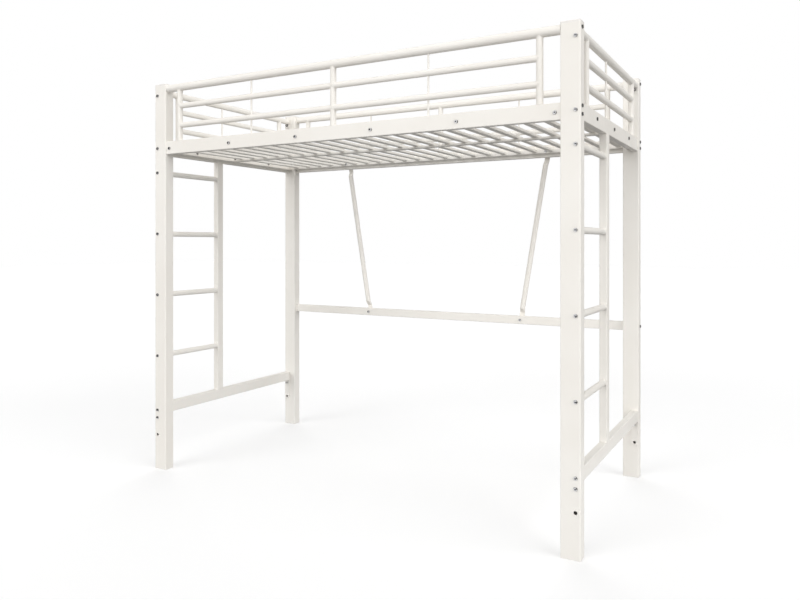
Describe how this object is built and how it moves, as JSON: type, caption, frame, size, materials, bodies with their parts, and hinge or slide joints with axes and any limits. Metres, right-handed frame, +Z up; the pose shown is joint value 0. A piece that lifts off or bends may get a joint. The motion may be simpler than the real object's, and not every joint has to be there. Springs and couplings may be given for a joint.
{
  "type": "metal loft bed",
  "caption": "White twin loft bed of bolted steel tube: four square-cut posts, a slatted deck with guard rails all round, a ladder in each end and a braced rear stretcher over open floor space",
  "frame": {"origin": "on the floor, under the middle of the bed", "axes": "+X along the bed to the right-hand end as seen from the open front, +Y to the wall side with the stretcher, +Z up"},
  "size_m": [2.0388, 1.0588, 1.83],
  "materials": {
    "white_coat": "warm white powder coat, satin with a fine texture",
    "cap_plastic": "moulded warm white plastic",
    "zinc_steel": "zinc-plated steel with dark hex sockets"
  },
  "bodies": {
    "root": {"front_left_post": "white_coat", "front_right_post": "white_coat", "rear_left_post": "white_coat", "rear_right_post": "white_coat", "post_caps": "cap_plastic", "post_feet": "cap_plastic", "front_side_rail": "white_coat", "rear_side_rail": "white_coat", "left_end_rail": "white_coat", "right_end_rail": "white_coat", "front_slat_bar": "white_coat", "rear_slat_bar": "white_coat", "left_end_ledge": "white_coat", "right_end_ledge": "white_coat", "centre_beam": "white_coat", "left_outer_slats": "white_coat", "left_inner_slats": "white_coat", "right_inner_slats": "white_coat", "right_outer_slats": "white_coat", "front_guard_top_rail": "white_coat", "front_guard_mid_rails": "white_coat", "front_guard_low_rails": "white_coat", "front_guard_uprights": "white_coat", "front_guard_rods": "white_coat", "rear_guard_top_rail": "white_coat", "rear_guard_mid_rails": "white_coat", "rear_guard_low_rails": "white_coat", "rear_guard_uprights": "white_coat", "rear_guard_rods": "white_coat", "left_guard_top_rail": "white_coat", "left_guard_mid_rail": "white_coat", "left_guard_low_rail": "white_coat", "left_guard_uprights": "white_coat", "left_guard_rod": "white_coat", "left_guard_plates": "white_coat", "right_guard_top_rail": "white_coat", "right_guard_mid_rail": "white_coat", "right_guard_low_rail": "white_coat", "right_guard_uprights": "white_coat", "right_guard_rod": "white_coat", "right_guard_plates": "white_coat", "left_ladder_stile": "white_coat", "right_ladder_stile": "white_coat", "left_ladder_rungs": "white_coat", "right_ladder_rungs": "white_coat", "left_bottom_rail": "white_coat", "right_bottom_rail": "white_coat", "bottom_rail_plates": "white_coat", "rear_stretcher": "white_coat", "left_brace": "white_coat", "right_brace": "white_coat", "end_frame_bolts": "zinc_steel", "side_frame_bolts": "zinc_steel", "slat_bar_bolts": "zinc_steel", "ledge_bolts": "zinc_steel", "brace_bolts": "zinc_steel", "rail_end_plates": "zinc_steel", "tube_end_plugs": "zinc_steel", "bar_inserts": "zinc_steel", "hex_nuts": "zinc_steel"}
  },
  "joints": []
}
